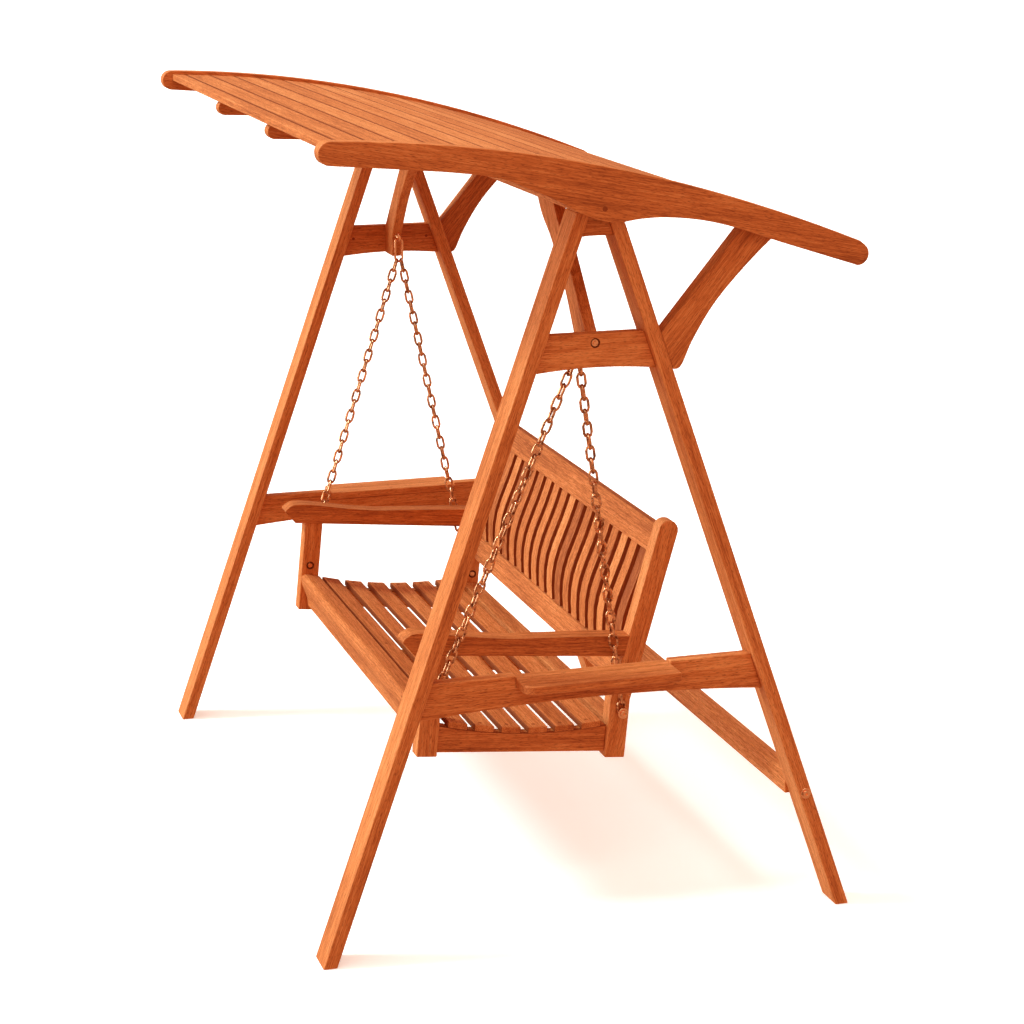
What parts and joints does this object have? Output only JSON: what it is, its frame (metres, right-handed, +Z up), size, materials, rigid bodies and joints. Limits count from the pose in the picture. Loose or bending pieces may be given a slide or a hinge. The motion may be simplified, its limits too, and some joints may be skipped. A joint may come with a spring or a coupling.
{
  "type": "porch swing",
  "caption": "Free-standing teak garden swing: a slatted bench hung on chains between A-frame ends, under a curved slatted canopy.",
  "frame": {"origin": "on the floor, midway between the four feet", "axes": "+X to the right of someone facing the seat, -Y to the front, +Z up"},
  "size_m": [2.12, 1.37, 1.9886],
  "materials": {
    "teak": "oiled, open grain",
    "brass": "dull yellow passivated"
  },
  "bodies": {
    "frame": {"front_leg_right": "teak", "rear_leg_right": "teak", "upper_crossbar_right": "teak", "lower_crossbar_right": "teak", "top_spreader_right": "teak", "side_shelf_right": "teak", "knee_brace_right": "teak", "rear_strut_right": "teak", "stretcher_bolt_right": "brass", "canopy_beam_right": "teak", "canopy_plug_right": "teak", "canopy_rib_right": "teak", "eye_bolt_right": "brass", "front_leg_left": "teak", "rear_leg_left": "teak", "upper_crossbar_left": "teak", "lower_crossbar_left": "teak", "top_spreader_left": "teak", "side_shelf_left": "teak", "knee_brace_left": "teak", "rear_strut_left": "teak", "stretcher_bolt_left": "brass", "canopy_beam_left": "teak", "canopy_plug_left": "teak", "canopy_rib_left": "teak", "eye_bolt_left": "brass", "rear_stretcher": "teak", "ridge_beam": "teak", "canopy_deck": "teak"},
    "swing": {"front_post_right": "teak", "rear_post_right": "teak", "side_rail_right": "teak", "armrest_right": "teak", "chain_front_right": "brass", "chain_rear_right": "brass", "chain_front_bolt_right": "brass", "chain_rear_bolt_right": "brass", "shackle_right": "brass", "front_post_left": "teak", "rear_post_left": "teak", "side_rail_left": "teak", "armrest_left": "teak", "chain_front_left": "brass", "chain_rear_left": "brass", "chain_front_bolt_left": "brass", "chain_rear_bolt_left": "brass", "shackle_left": "brass", "front_rail": "teak", "rear_rail": "teak", "seat_bearer": "teak", "back_top_rail": "teak", "back_lower_rail": "teak", "backrest_slats": "teak", "seat_slat_1": "teak", "seat_slat_2": "teak", "seat_slat_3": "teak", "seat_slat_4": "teak", "seat_slat_5": "teak", "seat_slat_6": "teak"}
  },
  "joints": [
    {"name": "seat_swing", "type": "hinge", "parent": "frame", "child": "swing", "pos_m": [0, 0, 1.4745], "axis": [1, 0, 0], "range_deg": [-25, 25]}
  ]
}
